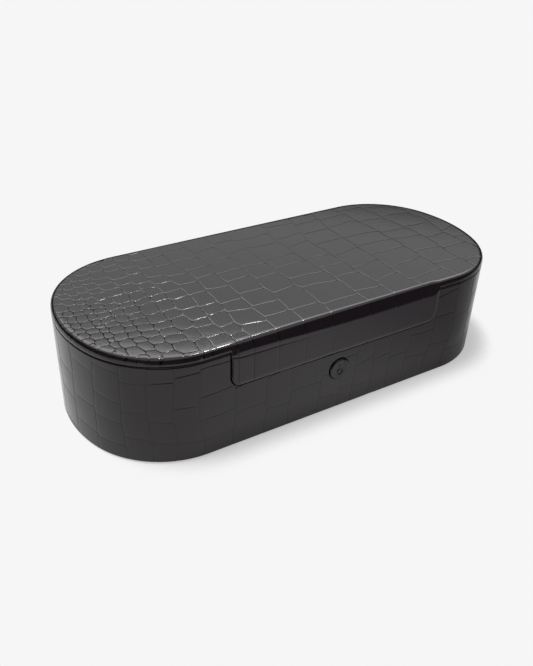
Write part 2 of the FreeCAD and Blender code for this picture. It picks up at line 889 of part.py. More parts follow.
def make_flap_board():
    board = flap_body("flap_plate", "flap_width / 2 - shell_outside", "flap_bottom + shell_outside",
                      "flap_top - shell_outside", "flap_corner - shell_outside", "flap_inner",
                      "flap_face - leather")
    return cut("flap_board", board, [
        rod("flap_seat", "Y", "magnet_radius + fit_gap", ("-flap_face", "-flap_inner + overrun"),
            x=place, z=magnet_level)
        for place in magnet_places
    ])


def make_flap_lining():
    return flap_body("flap_lining", "flap_width / 2", "flap_bottom", "flap_top", "flap_corner",
                     "flap_back", "flap_inner")


def make_flap_magnets():
    return group("flap_magnets", [
        rod("flap_magnet", "Y", "magnet_radius", ("-flap_face + leather", "-flap_inner"),
            x=place, z=magnet_level)
        for place in magnet_places
    ])


# Butt hinges: base leaves carry the outer knuckles, lid leaves the middle one


def leaf(name, place, levels, knuckles, free, sink, through):
    plate = block(name, (f"{place} - hinge_length / 2", f"{place} + hinge_length / 2"),
                  ("hinge_end", "hinge_axis"), levels)
    axis = {"y": "hinge_axis", "z": "hinge_level"}
    barrels = [rod(name, "X", "knuckle_radius", span, **axis) for span in knuckles]
    tools = [rod(name, "X", "knuckle_radius + edge_gap", span, **axis) for span in free]
    tools.append(rod(name, "X", "pin_radius + pin_gap",
                     (f"{place} - hinge_length", f"{place} + hinge_length"), **axis))
    clear = cut(name, plate, tools)
    bored = [cut(name, barrel, [tools[-1]]) for barrel in barrels]
    holes = []
    for side in sides:
        spot = {"x": f"{place} + {side} * hinge_screw_spacing / 2", "y": "hinge_screw_line"}
        holes.append(rod(name, "Z", "small_head_radius + fit_gap", sink, **spot))
        holes.append(rod(name, "Z", "small_screw_radius + fit_gap", through, **spot))
    return cut(name, join(name, [clear] + bored), holes)


def make_base_leaves():
    leaves = []
    for place in hinge_places:
        left = (f"{place} - hinge_length / 2", f"{place} - hinge_length / 2 + knuckle_end")
        right = (f"{place} + hinge_length / 2 - knuckle_end", f"{place} + hinge_length / 2")
        middle = (left[1], right[0])
        leaves.append(leaf("base_leaf", place, ("rim_top - leaf_thickness", "rim_top"), [left, right],
                           [middle], ("rim_top - small_head_height", "rim_top + overrun"),
                           ("flange_under", "rim_top")))
    return group("hinge_base_leaves", leaves)


def make_lid_leaves():
    leaves = []
    for place in hinge_places:
        start = f"{place} - hinge_length / 2 + knuckle_end + knuckle_gap"
        end = f"{place} + hinge_length / 2 - knuckle_end - knuckle_gap"
        free = [(f"{place} - hinge_length", start), (end, f"{place} + hinge_length")]
        leaves.append(leaf("lid_leaf", place, ("lid_under", "lid_under + leaf_thickness"), [(start, end)],
                           free, ("lid_under - overrun", "lid_under + small_head_height"),
                           ("lid_under", "lid_under + leaf_thickness + overrun")))
    return group("hinge_lid_leaves", leaves)


def make_hinge_pins():
    return group("hinge_pins", [
        rod("hinge_pin", "X", "pin_radius",
            (f"{place} - hinge_length / 2", f"{place} + hinge_length / 2"),
            y="hinge_axis", z="hinge_level")
        for place in hinge_places
    ])


def make_base_hinge_screws():
    return group("hinge_base_screws", [
        screw("base_hinge_screw", "Z", "small_", ("rim_top - small_head_height", "rim_top"),
              ("rim_top - small_screw_length", "rim_top - small_head_height"),
              x=place, y="hinge_screw_line")
        for place in hinge_screws
    ])


def make_lid_hinge_screws():
    return group("hinge_lid_screws", [
        screw("lid_hinge_screw", "Z", "small_", ("lid_under", "lid_under + small_head_height"),
              ("lid_under + small_head_height", "lid_under + lid_screw_length"),
              x=place, y="hinge_screw_line")
        for place in hinge_screws
    ])


keep("base_shell", make_base_shell())
keep("base_wrap", make_base_wrap())
keep("bottom_cover", make_bottom_cover())
keep("cover_screws", make_cover_screws())
keep("rubber_feet", make_rubber_feet())
keep("chamber_tray", make_chamber_tray())
keep("lamp_board", make_lamp_board())
keep("uv_lamps", make_lamps())
keep("quartz_window", make_window())
keep("control_board", make_control_board())
keep("control_screws", make_control_screws())
keep("control_chips", make_chips())
keep("charging_inlet", make_inlet())
keep("switch_board", make_switch_board())
keep("switch_screws", make_switch_screws())
keep("tact_switch", make_tact_switch())
keep("catch_magnets", make_catch_magnets())
keep("lid_sensor", make_lid_sensor())
keep("hinge_base_leaves", make_base_leaves())
keep("hinge_base_screws", make_base_hinge_screws())
keep("hinge_pins", make_hinge_pins())
keep("button_cap", make_button_cap())
keep("button_light_pipe", make_light_pipe())
keep("switch_plunger", make_plunger())
keep("lid_board", make_lid_board())
keep("lid_wrap", make_lid_wrap())
keep("lid_mirror", make_mirror())
keep("sensor_magnet", make_sensor_magnet())
keep("hinge_lid_leaves", make_lid_leaves())
keep("hinge_lid_screws", make_lid_hinge_screws())
keep("flap_leather", make_flap_leather())
keep("flap_board", make_flap_board())
keep("flap_lining", make_flap_lining())
keep("flap_magnets", make_flap_magnets())

doc.recompute()
for item in doc.Objects:
    if "Invalid" in item.State or "Error" in item.State:
        raise RuntimeError(f"{item.Name} failed: {item.State}")
for item in parts:
    if item.Shape.isNull() or not item.Shape.isValid():
        raise RuntimeError(f"{item.Label} has no valid shape")
os.makedirs("parts", exist_ok=True)
for item in parts:
    item.Shape.exportStep(f"parts/{item.Label}.step")
    print(item.Label, len(item.Shape.Solids), round(item.Shape.Volume))
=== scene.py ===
import math
import random

import bmesh
import bpy
from mathutils import Matrix, Vector, noise


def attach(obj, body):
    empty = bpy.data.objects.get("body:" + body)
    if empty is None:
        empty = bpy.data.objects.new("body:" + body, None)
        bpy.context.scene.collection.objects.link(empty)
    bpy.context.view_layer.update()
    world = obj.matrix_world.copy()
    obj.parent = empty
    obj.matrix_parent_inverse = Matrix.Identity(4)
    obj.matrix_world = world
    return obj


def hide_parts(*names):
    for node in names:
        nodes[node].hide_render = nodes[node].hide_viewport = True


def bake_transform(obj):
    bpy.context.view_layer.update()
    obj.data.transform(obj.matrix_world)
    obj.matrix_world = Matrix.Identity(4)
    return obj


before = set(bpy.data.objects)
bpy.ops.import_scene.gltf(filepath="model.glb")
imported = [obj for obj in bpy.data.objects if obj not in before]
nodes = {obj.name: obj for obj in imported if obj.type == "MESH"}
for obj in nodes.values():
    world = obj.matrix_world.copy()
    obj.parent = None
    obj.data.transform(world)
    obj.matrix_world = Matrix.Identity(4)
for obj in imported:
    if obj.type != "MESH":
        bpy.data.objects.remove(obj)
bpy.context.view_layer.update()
mm = 0.001  # meshes are drawn in millimetres and brought to metres at the end


def linear(code):
    parts = [int(code[i:i + 2], 16) / 255 for i in (1, 3, 5)]
    return [c / 12.92 if c <= 0.04045 else ((c + 0.055) / 1.055) ** 2.4 for c in parts] + [1]


def addNode(tree, kind, settings=None, links=None):
    node = tree.nodes.new(kind)
    for name, value in (settings or {}).items():
        if isinstance(name, int) or name in node.inputs:
            node.inputs[name].default_value = value
        else:
            setattr(node, name, value)
    for name, (source, output) in (links or {}).items():
        tree.links.new(source.outputs[output], node.inputs[name])
    return node


def easeIn(low, high, value):
    t = min(1, max(0, (value - low) / (high - low)))
    return t * t * (3 - 2 * t)


# Case outline, seen from above: straight front and rear, shoulders and flatter ends
case = {"halfWidth": 50.5, "shoulderAt": (69.73, 6.87), "shoulderRadius": 43.63,
        "endAt": 49.61, "endRadius": 64.89, "turn": math.radians(18.85)}
shoulderRun = (math.pi / 2 - case["turn"]) * case["shoulderRadius"]
endRun = 2 * case["turn"] * case["endRadius"]
straightRun = case["shoulderAt"][0]
halfRound = 2 * straightRun + 2 * shoulderRun + endRun


def outlineGap(x, y):
    # distance outside the outline, and the direction square to it
    acrossX, acrossY = abs(x), abs(y)
    midX, midY = case["shoulderAt"]
    if acrossX <= midX:
        return acrossY - case["halfWidth"], Vector((0, math.copysign(1, y), 0))
    if math.atan2(acrossY - midY, acrossX - midX) >= case["turn"]:
        away, radius = Vector((acrossX - midX, acrossY - midY, 0)), case["shoulderRadius"]
    else:
        away, radius = Vector((acrossX - case["endAt"], acrossY, 0)), case["endRadius"]
    gap = away.length - radius
    away.normalize()
    return gap, Vector((math.copysign(away.x, x), math.copysign(away.y, y), 0))


def outlinePoint(run):
    # run is the length along the outline from the middle of the front, to the right
    if run > halfRound:
        run -= 2 * halfRound
    if run < -halfRound:
        run += 2 * halfRound
    left, midX, midY = abs(run), *case["shoulderAt"]
    if left <= straightRun:
        spot, facing = Vector((left, -case["halfWidth"], 0)), Vector((0, -1, 0))
    elif left >= halfRound - straightRun:
        spot, facing = Vector((halfRound - left, case["halfWidth"], 0)), Vector((0, 1, 0))
    else:
        left -= straightRun
        if left <= shoulderRun:
            angle = left / case["shoulderRadius"] - math.pi / 2
            centre, radius = Vector((midX, -midY, 0)), case["shoulderRadius"]
        elif left <= shoulderRun + endRun:
            angle = (left - shoulderRun) / case["endRadius"] - case["turn"]
            centre, radius = Vector((case["endAt"], 0, 0)), case["endRadius"]
        else:
            angle = (left - shoulderRun - endRun) / case["shoulderRadius"] + case["turn"]
            centre, radius = Vector((midX, midY, 0)), case["shoulderRadius"]
        facing = Vector((math.cos(angle), math.sin(angle), 0))
        spot = centre + radius * facing
    side = math.copysign(1, run)
    return Vector((side * spot.x, spot.y, 0)), Vector((side * facing.x, facing.y, 0))


# Cutting tools for flat sheets of leather
def cutFaces(bm, faces, spot, facing):
    # a dictionary keeps the order, so that every run cuts alike
    parts = dict.fromkeys(part for face in faces for part in (*face.edges, *face.verts))
    made = bmesh.ops.bisect_plane(bm, geom=[*faces, *parts], dist=0.001,
                                  plane_co=spot, plane_no=facing)
    return [part for part in made["geom"] if isinstance(part, bmesh.types.BMFace)]


def isBeyond(face, spot, facing):
    return (face.calc_center_median() - spot).dot(facing) > 0


def stampFaces(bm, faces, outline):
    # cuts a convex outline into the sheet and gives the faces inside it
    for spot, facing in outline:
        parts = cutFaces(bm, faces, spot, facing)
        faces = [face for face in parts if not isBeyond(face, spot, facing)]
    return faces


def cutNear(bm, x, side, beyond, reach):
    # one cut along x through the faces near it, beyond a level on one side
    near = []
    for face in bm.faces:
        middle = face.calc_center_median()
        if middle.y * side > beyond and abs(middle.x - x) < reach:
            near.append(face)
    cutFaces(bm, near, Vector((x, 0, 0)), Vector((1, 0, 0)))


def roundOutline(centre, radius, start, end, count):
    # tangent planes along an arc
    planes = []
    for i in range(count):
        angle = start + (end - start) * (i + 0.5) / count
        facing = Vector((math.cos(angle), math.sin(angle), 0))
        planes.append((Vector((*centre, 0)) + radius * facing, facing))
    return planes


def circleOutline(centre, radius, count):
    return roundOutline(centre, radius, 0, 2 * math.pi, count)


# How much the tiles of a hide differ from one another, as shares of their size
tiling = {"bandSpread": (0.8, 1.2), "bandLean": 0.015, "rowSpread": (0.72, 1.28), "rowLean": 0.1,
          "firstStaggered": (0.2, 1.2), "firstLevel": (0.85, 1.15), "waveShare": (0.7, 0.3),
          "merge": 0.45}


def tileSheet(bm, look):
    # an embossed hide: bands of tiles cut across the sheet, grooves pressed between them
    dice = random.Random(look["seed"])
    noise.seed_set(look["seed"])
    (lowX, lowY), (highX, highY) = look["low"], look["high"]
    bmesh.ops.create_grid(bm, x_segments=1, y_segments=1, size=0.5)
    bmesh.ops.scale(bm, vec=(highX - lowX, highY - lowY, 1), verts=bm.verts)
    bmesh.ops.translate(bm, vec=((lowX + highX) / 2, (lowY + highY) / 2, 0), verts=bm.verts)

    def sizeAt(pair, x):
        return pair[0] + (pair[1] - pair[0]) * easeIn(*look["grow"], x)

    rest, bands, x = list(bm.faces), [], lowX
    while x < highX - look["band"][0]:
        x += sizeAt(look["band"], x) * dice.uniform(*tiling["bandSpread"])
        lean = dice.uniform(-tiling["bandLean"], tiling["bandLean"])
        spot, facing = Vector((x, 0, 0)), Vector((1, lean, 0)).normalized()
        parts = cutFaces(bm, rest, spot, facing)
        bands.append((x, [face for face in parts if not isBeyond(face, spot, facing)]))
        rest = [face for face in parts if isBeyond(face, spot, facing)]
    bands.append((highX, rest))
    for x, rest in bands:
        row = sizeAt(look["row"], x)
        first = tiling["firstStaggered"] if row < look["stagger"] else tiling["firstLevel"]
        y = lowY + row * dice.uniform(*first)
        while y < highY and rest:
            lean = dice.uniform(-tiling["rowLean"], tiling["rowLean"])
            spot, facing = Vector((x, y, 0)), Vector((lean, 1, 0)).normalized()
            parts = cutFaces(bm, rest, spot, facing)
            rest = [face for face in parts if isBeyond(face, spot, facing)]
            y += row * dice.uniform(*tiling["rowSpread"])

    # wavy lines: every edge gets more points, which noise then moves
    byCuts = {}
    for edge in bm.edges:
        byCuts.setdefault(int(edge.calc_length() / look["step"]), []).append(edge)
    for cuts, edges in byCuts.items():
        if cuts:
            bmesh.ops.bisect_edges(bm, edges=edges, cuts=cuts)
    inner = [vert for vert in bm.verts if not vert.is_boundary]
    calm, more = tiling["waveShare"]
    for vert in inner:
        for size, reach in look["waves"]:
            at = Vector((vert.co.x / size, vert.co.y / size, look["seed"]))
            shift = noise.noise_vector(at) * reach
            share = calm + more * easeIn(*look["grow"], vert.co.x)
            vert.co += Vector((shift.x, shift.y, 0)) * share
    small = [vert for vert in inner if vert.co.x < look["grow"][1]]
    for _ in range(look["rounding"]):
        bmesh.ops.smooth_vert(bm, verts=small, factor=0.5,
                              use_axis_x=True, use_axis_y=True, use_axis_z=True)
    bmesh.ops.remove_doubles(bm, verts=inner, dist=look["step"] * tiling["merge"])
    # ragged tiles round the outside are trimmed off
    ragged = [face for face in bm.faces if any(vert.is_boundary for vert in face.verts)]
    bmesh.ops.delete(bm, geom=ragged, context="FACES")

    # grooves: each tile is set in and raised in rings, wider ones on the large tiles
    large = {face for face in bm.faces if face.calc_area() > look["large"] ** 2}
    tiles = list(bm.faces)
    for narrow, wide, rise, least, ease in look["rings"]:
        tiles = [face for face in tiles if face.calc_area() > least * least]
        for width, some in ((narrow, [face for face in tiles if face not in large]),
                            (wide, [face for face in tiles if face in large])):
            bmesh.ops.inset_individual(bm, faces=some, thickness=width, depth=rise,
                                       use_even_offset=least == 0)
        ring = list(dict.fromkeys(vert for face in tiles for vert in face.verts))
        bmesh.ops.smooth_vert(bm, verts=ring, factor=ease,
                              use_axis_x=True, use_axis_y=True, use_axis_z=False)

    # their depth goes by the size of the tiles, is uneven, and fades towards the rear
    height = sum(rise for _, _, rise, _, _ in look["rings"])
    patch, spread = look["uneven"]
    front, rear, lost = look["fade"]
    for vert in bm.verts:
        depth = sizeAt(look["deepen"], vert.co.x)
        depth *= 1 + noise.noise(vert.co / patch) * spread
        depth *= 1 - lost * easeIn(front, rear, vert.co.y)
        vert.co.z = height - (height - vert.co.z) * depth
    return height


def meshObject(bm, name):
    mesh = bpy.data.meshes.new(name)
    bm.to_mesh(mesh)
    bm.free()
    mesh.set_sharp_from_angle(angle=math.radians(70))
    piece = bpy.data.objects.new(name, mesh)
    bpy.context.scene.collection.objects.link(piece)
    return piece


def finishMesh(bm, name, height, reliefs):
    # to metres, into an object, with the relief kept for the material's painted groove shade
    relief = bm.verts.layers.float.new("relief")
    for vert in bm.verts:
        vert[relief] = min(1, max(0, vert[reliefs].z / height))
    bmesh.ops.remove_doubles(bm, verts=bm.verts, dist=0.002)
    bmesh.ops.scale(bm, vec=(mm, mm, mm), verts=bm.verts)
    for face in bm.faces:
        face.smooth = True
    return meshObject(bm, name)


def growEdge(bm, edges):
    # extrudes a chain of open edges and gives the new points and the new open edges
    made = bmesh.ops.extrude_edge_only(bm, edges=edges)["geom"]
    verts = [part for part in made if isinstance(part, bmesh.types.BMVert)]
    fresh = set(verts)
    chain = [part for part in made if isinstance(part, bmesh.types.BMEdge)
             and part.verts[0] in fresh and part.verts[1] in fresh]
    return verts, chain


# Lid leather: embossed top, rolled edge, and the flap that hangs from its front
lidHide = {"seed": 7, "low": (-132, -76), "high": (150, 76), "grow": (-102, 0), "band": (4.9, 18),
           "row": (5.2, 14), "stagger": 11, "step": 2.2, "waves": ((46, 5.0), (13, 1.8), (5, 0.5)),
           "rounding": 3, "large": 9, "deepen": (1.5, 0.62), "uneven": (1.7, 0.6),
           "fade": (-25, 40, 0.55),
           "rings": ((0.14, 0.28, 0.13, 0, 0.25), (0.12, 0.18, 0.02, 2.2, 0.25),
                     (0.16, 0.25, 0.005, 3, 0.35))}
lidEdge = {"top": 55, "inset": 3.2, "square": 0.68, "hold": 0.5, "drop": 3.3, "steps": 10,
           "beyond": 40, "flapDrop": (4.0, 6.4), "flapOut": 0.6, "flapEnd": 58.7, "easeFrom": 53.5,
           "crease": math.radians(15), "depth": (0.35, 0.8, 2.0), "depthRun": (-90, -45),
           "hem": ((0.12, 0.22), (0.28, 0.08), (0.65, 0)),
           "hinge": ((34.3, 34.6), (57.4, 57.7)), "hingeTurn": 0.585,
           "arcSteps": (22, 16), "margin": 0.2, "hair": 0.0005, "near": (36, 30)}
flap = {"bottom": 33.32, "corner": 5, "cornerStep": 15, "face": -51.1, "inner": -49.1, "edge": 0.35,
        "slope": (1.1, 0.55), "slopeFrom": 0.1, "hang": 0.3, "hangFrom": 0.2, "touch": 0.01,
        "creaseDrop": 1.5, "creaseRun": (-58, 12), "creaseFrom": 0.05,
        "levels": ((0.03, 0.0), (0.055, -0.07), (0.08, -0.2), (0.105, -0.07), (0.13, 0.0),
                   (0.3, 0.0), (0.5, 0.0), (0.7, 0.0), (0.85, 0.0), (0.93, 0.0), (1, 0.0))}


def hingeShare(x):
    # 1 over a hinge, 0 beside it
    (inFrom, inTo), (outFrom, outTo) = lidEdge["hinge"]
    across = abs(x)
    rising = max(0, (across - inFrom) / (inTo - inFrom))
    falling = max(0, (outTo - across) / (outTo - outFrom))
    return min(1, rising, falling)


def flapShare(x, y):
    # 1 where the edge goes on into the flap, 0 beside it
    if y >= -lidEdge["beyond"]:
        return 0
    return 1 - easeIn(lidEdge["easeFrom"], lidEdge["flapEnd"], abs(x))


def edgeDepth(x, y):
    # at the edge the small scales are pressed flatter, and the fold opens the grooves of the large tiles
    small, large, folded = lidEdge["depth"]
    depth = small + (large - small) * easeIn(*lidEdge["depthRun"], x)
    return depth + (folded - depth) * flapShare(x, y)


def edgeRoll(step, x, y):
    # how far out and down the edge has come, and its turn: a quarter round that stops early at a
    # hinge, and a longer one with a crease under it over the flap
    share = flapShare(x, y)
    fullTurn = math.pi / 2 - lidEdge["crease"] * share
    angle = fullTurn * step / lidEdge["steps"]
    if y > lidEdge["beyond"]:
        angle *= 1 - (1 - lidEdge["hingeTurn"]) * hingeShare(x)
    power = lidEdge["square"] + (1 - lidEdge["square"]) * share
    reach = lidEdge["inset"] + lidEdge["flapOut"] * share
    out = reach * (math.sin(angle) / math.sin(fullTurn)) ** power
    tight, loose = lidEdge["flapDrop"]
    flapDrop = tight + (loose - tight) * easeIn(*flap["creaseRun"], x)
    drop = lidEdge["drop"] + (flapDrop - lidEdge["drop"]) * share
    left = max(0, (math.cos(angle) - math.cos(fullTurn)) / (1 - math.cos(fullTurn)))
    return out, drop * (1 - left ** power), angle


def flapGap(x, z):
    # how far a point lies inside the flap's right and lower edges
    across = x - lidEdge["flapEnd"] + flap["corner"]
    below = flap["bottom"] + flap["corner"] - z
    if across > 0 and below > 0:
        return flap["corner"] - math.hypot(across, below)
    return flap["corner"] - max(across, below)


def makeLidLeather():
    bm = bmesh.new()
    height = tileSheet(bm, lidHide)
    inset, turn, (midX, midY) = lidEdge["inset"], case["turn"], case["shoulderAt"]
    shoulderSteps, endSteps = lidEdge["arcSteps"]
    # one cut where the edge starts to roll, after one just inside it that keeps the top flat
    for within in (inset + lidEdge["hold"], inset):
        outline = [(Vector((0, side * (case["halfWidth"] - within), 0)), Vector((0, side, 0)))
                   for side in (-1, 1)]
        shoulder, end = case["shoulderRadius"] - within, case["endRadius"] - within
        arcs = roundOutline((midX, -midY), shoulder, -math.pi / 2, -turn, shoulderSteps)
        arcs += roundOutline((case["endAt"], 0), end, -turn, turn, endSteps)
        arcs += roundOutline((midX, midY), shoulder, turn, math.pi / 2, shoulderSteps)
        for side in (0, 1):
            turned = Matrix.Rotation(math.pi * side, 4, "Z")
            outline += [(turned @ spot, turned @ facing) for spot, facing in arcs]
        reach = -within - lidEdge["margin"]
        rim = [face for face in bm.faces
               if max(outlineGap(*vert.co.xy)[0] for vert in face.verts) > reach]
        stampFaces(bm, rim, outline)
    outside = [face for face in bm.faces
               if outlineGap(*face.calc_center_median().xy)[0] > -inset + lidEdge["hair"]]
    bmesh.ops.delete(bm, geom=outside, context="FACES")
    # points where the flap and the hinges begin and end, and round the flap's corners
    flapCuts = [lidEdge["flapEnd"] - flap["corner"] * (1 - math.sin(math.radians(degrees)))
                for degrees in range(0, 91, flap["cornerStep"])]
    hingeCuts = [place for pair in lidEdge["hinge"] for place in pair]
    for half, cuts in ((-1, flapCuts), (1, hingeCuts)):
        for place in cuts:
            for side in (-1, 1):
                cutNear(bm, side * place, half, *lidEdge["near"])

    flat = bm.verts.layers.float_vector.new("flat")
    for vert in bm.verts:
        vert[flat] = vert.co
        vert.co.z += lidEdge["top"] - height
    chain = [edge for edge in bm.edges if edge.is_boundary]
    for step in range(1, lidEdge["steps"] + 1):
        verts, chain = growEdge(bm, chain)
        for vert in verts:
            x, y, relief = vert[flat]
            shallow = 1 + (edgeDepth(x, y) - 1) * step / lidEdge["steps"]
            away = outlineGap(x, y)[1]
            out, down, angle = edgeRoll(step, x, y)
            skin = away * math.sin(angle) + Vector((0, 0, math.cos(angle)))
            outer = Vector((x, y, lidEdge["top"] - down)) + away * out
            vert.co = outer - skin * (height - relief) * shallow

    # the flap goes on down from the front edge
    end = lidEdge["flapEnd"] + flap["touch"]
    front = [edge for edge in chain
             if all(vert[flat].y < -lidEdge["beyond"] and abs(vert[flat].x) < end for vert in edge.verts)]
    hem = [edge for edge in chain if edge not in set(front)]
    width, back = flap["slope"]
    for level, press in flap["levels"]:
        verts, front = growEdge(bm, front)
        for vert in verts:
            x, y, relief = vert[flat]
            bend = max(0, abs(x) - end + flap["corner"])
            lift = math.sqrt(max(0, flap["corner"] ** 2 - bend ** 2))
            foot = flap["bottom"] + flap["corner"] - lift
            start = lidEdge["top"] - edgeRoll(lidEdge["steps"], x, y)[1]
            crease = flap["creaseDrop"] * (1 - easeIn(*flap["creaseRun"], x))
            crease *= easeIn(0, flap["creaseFrom"], level)
            crease *= 1 - level
            groove = (height - relief) * edgeDepth(x, y)
            vert.co.x = x + flap["hang"] * easeIn(0, flap["hangFrom"], level)
            vert.co.y = flap["face"] + groove - press * crease / flap["creaseDrop"]
            vert.co.z = start + (foot - start) * level - crease
            near = max(0, 1 - max(0, flapGap(x, vert.co.z)) / width)
            vert.co.y += back * easeIn(0, flap["slopeFrom"], level) * near
    known = {*hem, *front}
    sides = [edge for edge in bm.edges if edge.is_boundary and edge not in known]
    verts, _ = growEdge(bm, front + sides)
    for vert in verts:
        vert.co.y = flap["inner"]
    bmesh.ops.bevel(bm, geom=front + sides, offset=flap["edge"], segments=4, profile=0.5,
                    affect="EDGES", material=-1, clamp_overlap=False)

    # the rest of the edge is turned under the lid
    hem = [edge for edge in hem if edge.is_valid]
    for inward, down in lidEdge["hem"]:
        verts, hem = growEdge(bm, hem)
        for vert in verts:
            x, y, _ = vert[flat]
            vert.co -= outlineGap(x, y)[1] * inward + Vector((0, 0, down))
    return finishMesh(bm, "lidLeather", height, flat)


lidLeather = makeLidLeather()
print("lid leather", len(lidLeather.data.polygons))


# Base leather: one strip round the wall, butted at the rear, turned in at the rim and the openings
wallHide = {"seed": 23, "low": (-295, -24), "high": (345, 76), "grow": (-900, -800), "band": (13, 13),
            "row": (16, 16), "stagger": 99, "step": 2.2, "waves": ((58, 6.0), (17, 1.4), (5, 0.25)),
            "rounding": 0, "large": 0, "deepen": (1.1, 1.1), "uneven": (2.2, 0.5), "fade": (0, 1, 0),
            "rings": ((0, 0.32, 0.12, 0, 0.25), (0, 0.22, 0.02, 2.2, 0.25),
                      (0, 0.25, 0.005, 3, 0.35))}
wall = {"seam": -265, "hold": 0.5, "low": 1.5, "high": 50.4, "bend": 2.4, "bendLeast": 1.2, "margin": 1,
        "rimRound": 0.6, "lip": 2.15, "recessLip": 0.9, "footRound": 0.5, "footLip": 1.3,
        "turns": (30, 60, 90, None), "hingeFrom": 46, "hingeTop": 48.5, "rearFacing": 0.99,
        "near": (34, 30), "touch": 0.01, "openingCuts": (1.6, 1, 0.6, 0.29, 0.08, 0)}
recess = {"half": 59.1, "bottom": 33.2, "corner": 5.5, "depth": 2.2, "edge": 0.3, "touch": 0.02,
          "arcSteps": 8}
buttonHole = {"centre": (0, 23.7), "radius": 5.7, "edge": 0.35, "depth": 1.3, "arcSteps": 48}
inletHole = {"centre": (halfRound, 9.25), "reach": 2.8, "radius": 3.55, "edge": 0.4, "depth": 1.1,
             "arcSteps": 14}


def recessGap(x, z):
    across = abs(x) - recess["half"] + recess["corner"]
    below = recess["bottom"] + recess["corner"] - z
    if across > 0 and below > 0:
        return math.hypot(across, below) - recess["corner"]
    return max(across, below) - recess["corner"]


def buttonGap(x, z):
    return math.hypot(x, z - buttonHole["centre"][1]) - buttonHole["radius"]


def inletGap(x, z):
    across = max(0, abs(x - inletHole["centre"][0]) - inletHole["reach"])
    return math.hypot(across, z - inletHole["centre"][1]) - inletHole["radius"]


def recessOutline(out):
    half, bottom, corner = recess["half"], recess["bottom"], recess["corner"]
    planes = [(Vector((side * (half + out), 0, 0)), Vector((side, 0, 0))) for side in (-1, 1)]
    planes.append((Vector((0, bottom - out, 0)), Vector((0, -1, 0))))
    for side, start in ((1, -math.pi / 2), (-1, math.pi)):
        centre = (side * (half - corner), bottom + corner)
        planes += roundOutline(centre, corner + out, start, start + math.pi / 2, recess["arcSteps"])
    return planes


def buttonOutline(out):
    return circleOutline(buttonHole["centre"], buttonHole["radius"] + out, buttonHole["arcSteps"])


def inletOutline(out):
    x, z = inletHole["centre"]
    radius = inletHole["radius"] + out
    planes = [(Vector((x, z + side * radius, 0)), Vector((0, side, 0))) for side in (-1, 1)]
    for side, middle in ((-1, math.pi), (1, 0)):
        planes += roundOutline((x + side * inletHole["reach"], z), radius,
                               middle - math.pi / 2, middle + math.pi / 2, inletHole["arcSteps"])
    return planes


openings = [(recess, recessGap, recessOutline), (buttonHole, buttonGap, buttonOutline),
            (inletHole, inletGap, inletOutline)]


def rolledDepth(x, z):
    # how far the leather has turned in at the edge of an opening
    depth = 0
    for opening, gapAt, _ in openings:
        gap, edge = gapAt(x, z), opening["edge"]
        if gap < edge:
            depth += edge - math.sqrt(max(0, edge ** 2 - (edge - max(0, gap)) ** 2))
    return depth


def isCurved(run):
    run = abs((run + halfRound) % (2 * halfRound) - halfRound)
    return straightRun - wall["margin"] < run < halfRound - straightRun + wall["margin"]


